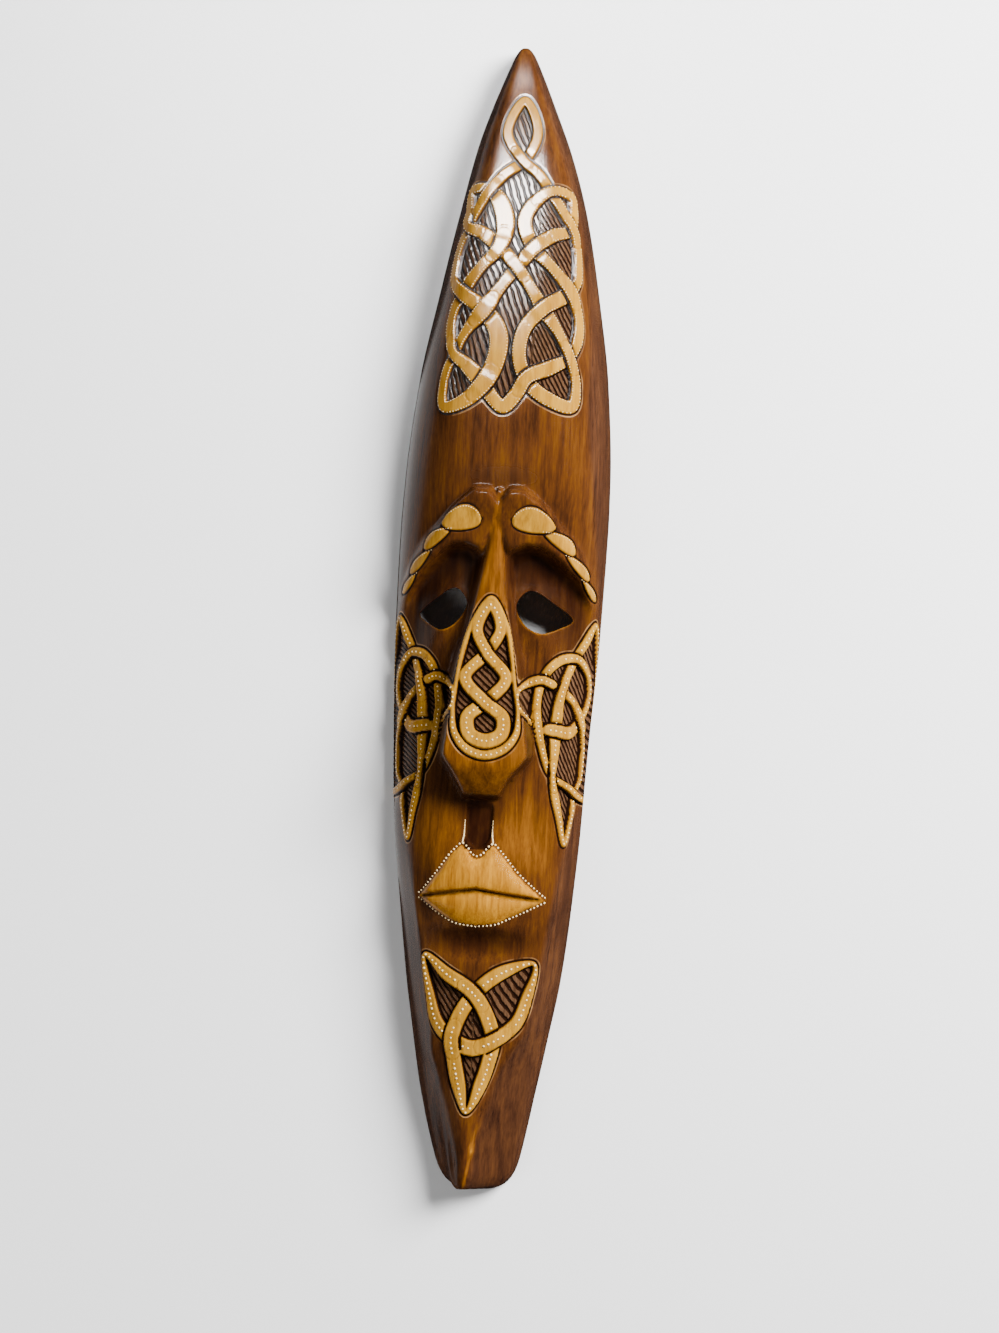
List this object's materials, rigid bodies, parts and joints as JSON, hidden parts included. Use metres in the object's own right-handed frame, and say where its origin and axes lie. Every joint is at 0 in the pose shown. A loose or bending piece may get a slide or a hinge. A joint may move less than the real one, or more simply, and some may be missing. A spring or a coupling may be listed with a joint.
{
  "type": "mask",
  "caption": "Long carved wooden wall mask with pointed crown, pierced almond eyes, raised interlaced bands, open hollow back and flat rim",
  "frame": {"origin": "middle of the mask's footprint, on the plane of its rim", "axes": "+Y toward the pointed crown, +Z out of the face, +X to the right of someone who looks at the face; the mask lies on its back"},
  "size_m": [0.184, 1, 0.0856],
  "materials": {
    "lacquered_wood": "brown stained and gloss lacquered carved wood, amber interlaced bands with cream paint dots"
  },
  "bodies": {
    "root": {"mask": "lacquered_wood"}
  },
  "joints": []
}
